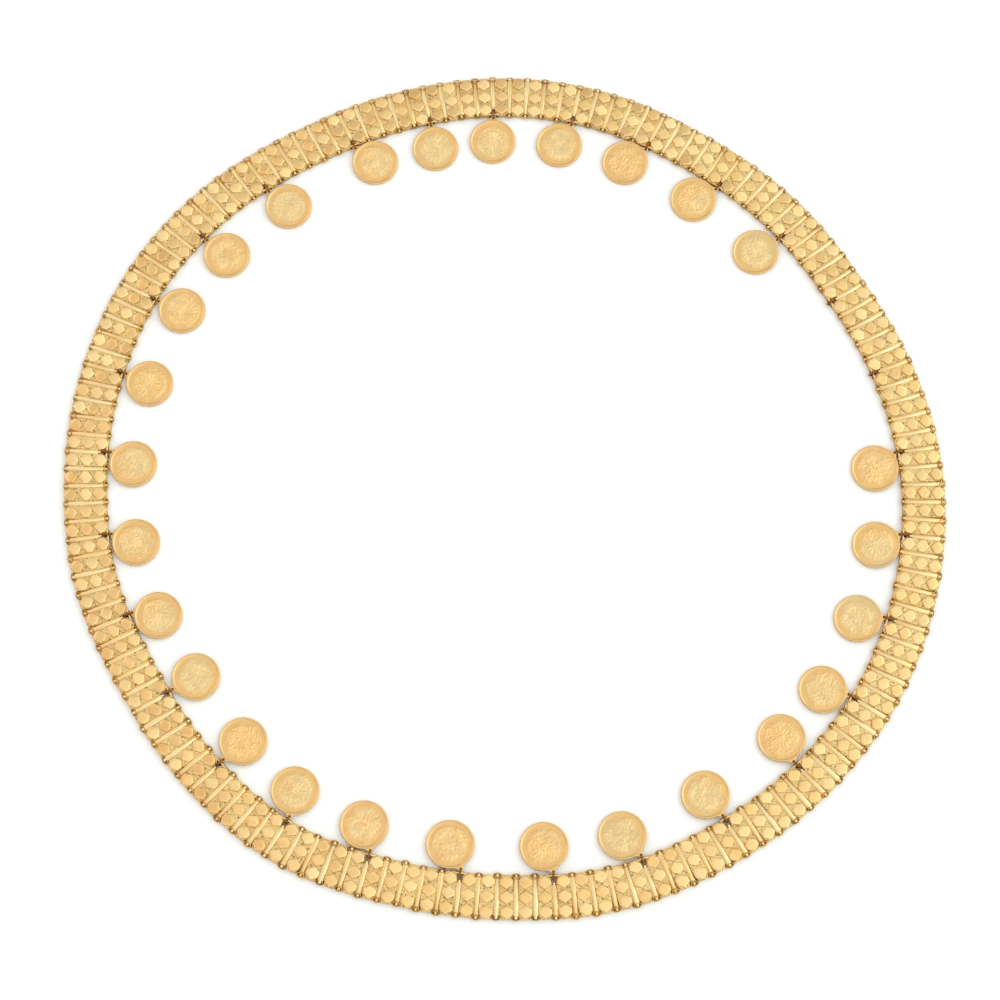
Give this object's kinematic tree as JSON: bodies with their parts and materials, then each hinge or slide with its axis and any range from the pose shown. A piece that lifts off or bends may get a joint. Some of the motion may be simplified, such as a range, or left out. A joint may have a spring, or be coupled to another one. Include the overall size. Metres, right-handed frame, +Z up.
{
  "type": "waist chain",
  "caption": "Closed waist chain of flat faceted gold links, laid flat, with coin pendants on jump rings along its inner edge.",
  "frame": {"origin": "middle of the closed loop's outline, on the plane that it lies on", "axes": "+Z up out of the faces of the links and coins, +Y away from the camera, +X to its right"},
  "size_m": [0.3192, 0.316, 0.0036],
  "materials": {
    "link_gold": "polished facets on a stippled ground",
    "coin_gold": "struck, softly worn relief",
    "ring_gold": "drawn wire, polished"
  },
  "bodies": {
    "band": {"band_01": "link_gold", "band_02": "link_gold", "band_03": "link_gold", "band_04": "link_gold", "band_05": "link_gold", "band_06": "link_gold", "band_07": "link_gold", "band_08": "link_gold", "band_09": "link_gold", "band_10": "link_gold", "band_11": "link_gold", "band_12": "link_gold", "band_13": "link_gold", "band_14": "link_gold", "band_15": "link_gold", "band_16": "link_gold", "band_17": "link_gold", "band_18": "link_gold", "band_19": "link_gold", "band_20": "link_gold", "band_21": "link_gold", "band_22": "link_gold", "band_23": "link_gold", "band_24": "link_gold", "band_25": "link_gold", "band_26": "link_gold", "band_27": "link_gold", "band_28": "link_gold", "band_29": "link_gold", "ring_01": "ring_gold", "ring_02": "ring_gold"},
    "coin_01": {"coin_01": "coin_gold"},
    "coin_02": {"coin_02": "coin_gold"},
    "coin_03": {"coin_03": "coin_gold"},
    "coin_04": {"coin_04": "coin_gold"},
    "coin_05": {"coin_05": "coin_gold"},
    "coin_06": {"coin_06": "coin_gold"},
    "coin_07": {"coin_07": "coin_gold"},
    "coin_08": {"coin_08": "coin_gold"},
    "coin_09": {"coin_09": "coin_gold"},
    "coin_10": {"coin_10": "coin_gold"},
    "coin_11": {"coin_11": "coin_gold"},
    "coin_12": {"coin_12": "coin_gold"},
    "coin_13": {"coin_13": "coin_gold"},
    "coin_14": {"coin_14": "coin_gold"},
    "coin_15": {"coin_15": "coin_gold"},
    "coin_16": {"coin_16": "coin_gold"},
    "coin_17": {"coin_17": "coin_gold"},
    "coin_18": {"coin_18": "coin_gold"},
    "coin_19": {"coin_19": "coin_gold"},
    "coin_20": {"coin_20": "coin_gold"},
    "coin_21": {"coin_21": "coin_gold"},
    "coin_22": {"coin_22": "coin_gold"},
    "coin_23": {"coin_23": "coin_gold"},
    "coin_24": {"coin_24": "coin_gold"},
    "coin_25": {"coin_25": "coin_gold"},
    "coin_26": {"coin_26": "coin_gold"},
    "coin_27": {"coin_27": "coin_gold"}
  },
  "joints": [
    {"name": "coin_01_swing", "type": "hinge", "parent": "band", "child": "coin_01", "pos_m": [0.02578, 0.14018, 0.0018], "axis": [-0.9768, 0.2143, 0], "range_deg": [0, 100]},
    {"name": "coin_02_swing", "type": "hinge", "parent": "band", "child": "coin_02", "pos_m": [0.05394, 0.13003, 0.0018], "axis": [-0.8906, 0.4549, 0], "range_deg": [0, 100]},
    {"name": "coin_03_swing", "type": "hinge", "parent": "band", "child": "coin_03", "pos_m": [0.08022, 0.11384, 0.0018], "axis": [-0.8096, 0.5869, 0], "range_deg": [0, 100]},
    {"name": "coin_04_swing", "type": "hinge", "parent": "band", "child": "coin_04", "pos_m": [0.1028, 0.09345, 0.0018], "axis": [-0.6522, 0.758, 0], "range_deg": [0, 100]},
    {"name": "coin_05_swing", "type": "hinge", "parent": "band", "child": "coin_05", "pos_m": [0.14336, 0.01027, 0.0018], "axis": [-0.1463, 0.9892, 0], "range_deg": [0, 100]},
    {"name": "coin_06_swing", "type": "hinge", "parent": "band", "child": "coin_06", "pos_m": [0.14382, -0.02077, 0.0018], "axis": [0.1103, 0.9939, 0], "range_deg": [0, 100]},
    {"name": "coin_07_swing", "type": "hinge", "parent": "band", "child": "coin_07", "pos_m": [0.13691, -0.05153, 0.0018], "axis": [0.3244, 0.9459, 0], "range_deg": [0, 100]},
    {"name": "coin_08_swing", "type": "hinge", "parent": "band", "child": "coin_08", "pos_m": [0.12314, -0.07979, 0.0018], "axis": [0.55, 0.8351, 0], "range_deg": [0, 100]},
    {"name": "coin_09_swing", "type": "hinge", "parent": "band", "child": "coin_09", "pos_m": [0.10264, -0.10401, 0.0018], "axis": [0.7284, 0.6852, 0], "range_deg": [0, 100]},
    {"name": "coin_10_swing", "type": "hinge", "parent": "band", "child": "coin_10", "pos_m": [0.077, -0.12306, 0.0018], "axis": [0.8593, 0.5114, 0], "range_deg": [0, 100]},
    {"name": "coin_11_swing", "type": "hinge", "parent": "band", "child": "coin_11", "pos_m": [0.04802, -0.13697, 0.0018], "axis": [0.9439, 0.3303, 0], "range_deg": [0, 100]},
    {"name": "coin_12_swing", "type": "hinge", "parent": "band", "child": "coin_12", "pos_m": [0.01709, -0.14282, 0.0018], "axis": [0.9986, 0.0525, 0], "range_deg": [0, 100]},
    {"name": "coin_13_swing", "type": "hinge", "parent": "band", "child": "coin_13", "pos_m": [-0.01528, -0.14188, 0.0018], "axis": [0.9936, -0.1126, 0], "range_deg": [0, 100]},
    {"name": "coin_14_swing", "type": "hinge", "parent": "band", "child": "coin_14", "pos_m": [-0.04701, -0.13549, 0.0018], "axis": [0.9635, -0.2676, 0], "range_deg": [0, 100]},
    {"name": "coin_15_swing", "type": "hinge", "parent": "band", "child": "coin_15", "pos_m": [-0.07581, -0.12349, 0.0018], "axis": [0.8465, -0.5324, 0], "range_deg": [0, 100]},
    {"name": "coin_16_swing", "type": "hinge", "parent": "band", "child": "coin_16", "pos_m": [-0.09974, -0.10321, 0.0018], "axis": [0.6876, -0.7261, 0], "range_deg": [0, 100]},
    {"name": "coin_17_swing", "type": "hinge", "parent": "band", "child": "coin_17", "pos_m": [-0.11872, -0.07799, 0.0018], "axis": [0.5269, -0.8499, 0], "range_deg": [0, 100]},
    {"name": "coin_18_swing", "type": "hinge", "parent": "band", "child": "coin_18", "pos_m": [-0.13418, -0.05002, 0.0018], "axis": [0.4151, -0.9098, 0], "range_deg": [0, 100]},
    {"name": "coin_19_swing", "type": "hinge", "parent": "band", "child": "coin_19", "pos_m": [-0.14285, -0.02069, 0.0018], "axis": [0.1529, -0.9882, 0], "range_deg": [0, 100]},
    {"name": "coin_20_swing", "type": "hinge", "parent": "band", "child": "coin_20", "pos_m": [-0.14448, 0.01028, 0.0018], "axis": [-0.0417, -0.9991, 0], "range_deg": [0, 100]},
    {"name": "coin_21_swing", "type": "hinge", "parent": "band", "child": "coin_21", "pos_m": [-0.13996, 0.04059, 0.0018], "axis": [-0.2561, -0.9667, 0], "range_deg": [0, 100]},
    {"name": "coin_22_swing", "type": "hinge", "parent": "band", "child": "coin_22", "pos_m": [-0.12904, 0.0689, 0.0018], "axis": [-0.4707, -0.8823, 0], "range_deg": [0, 100]},
    {"name": "coin_23_swing", "type": "hinge", "parent": "band", "child": "coin_23", "pos_m": [-0.11158, 0.09335, 0.0018], "axis": [-0.676, -0.7369, 0], "range_deg": [0, 100]},
    {"name": "coin_24_swing", "type": "hinge", "parent": "band", "child": "coin_24", "pos_m": [-0.08882, 0.11293, 0.0018], "axis": [-0.8307, -0.5567, 0], "range_deg": [0, 100]},
    {"name": "coin_25_swing", "type": "hinge", "parent": "band", "child": "coin_25", "pos_m": [-0.05654, 0.13053, 0.0018], "axis": [-0.9155, -0.4023, 0], "range_deg": [0, 100]},
    {"name": "coin_26_swing", "type": "hinge", "parent": "band", "child": "coin_26", "pos_m": [-0.02781, 0.13989, 0.0018], "axis": [-0.9768, -0.2141, 0], "range_deg": [0, 100]},
    {"name": "coin_27_swing", "type": "hinge", "parent": "band", "child": "coin_27", "pos_m": [-0.00399, 0.14299, 0.0018], "axis": [-0.9995, -0.0317, 0], "range_deg": [0, 100]}
  ]
}
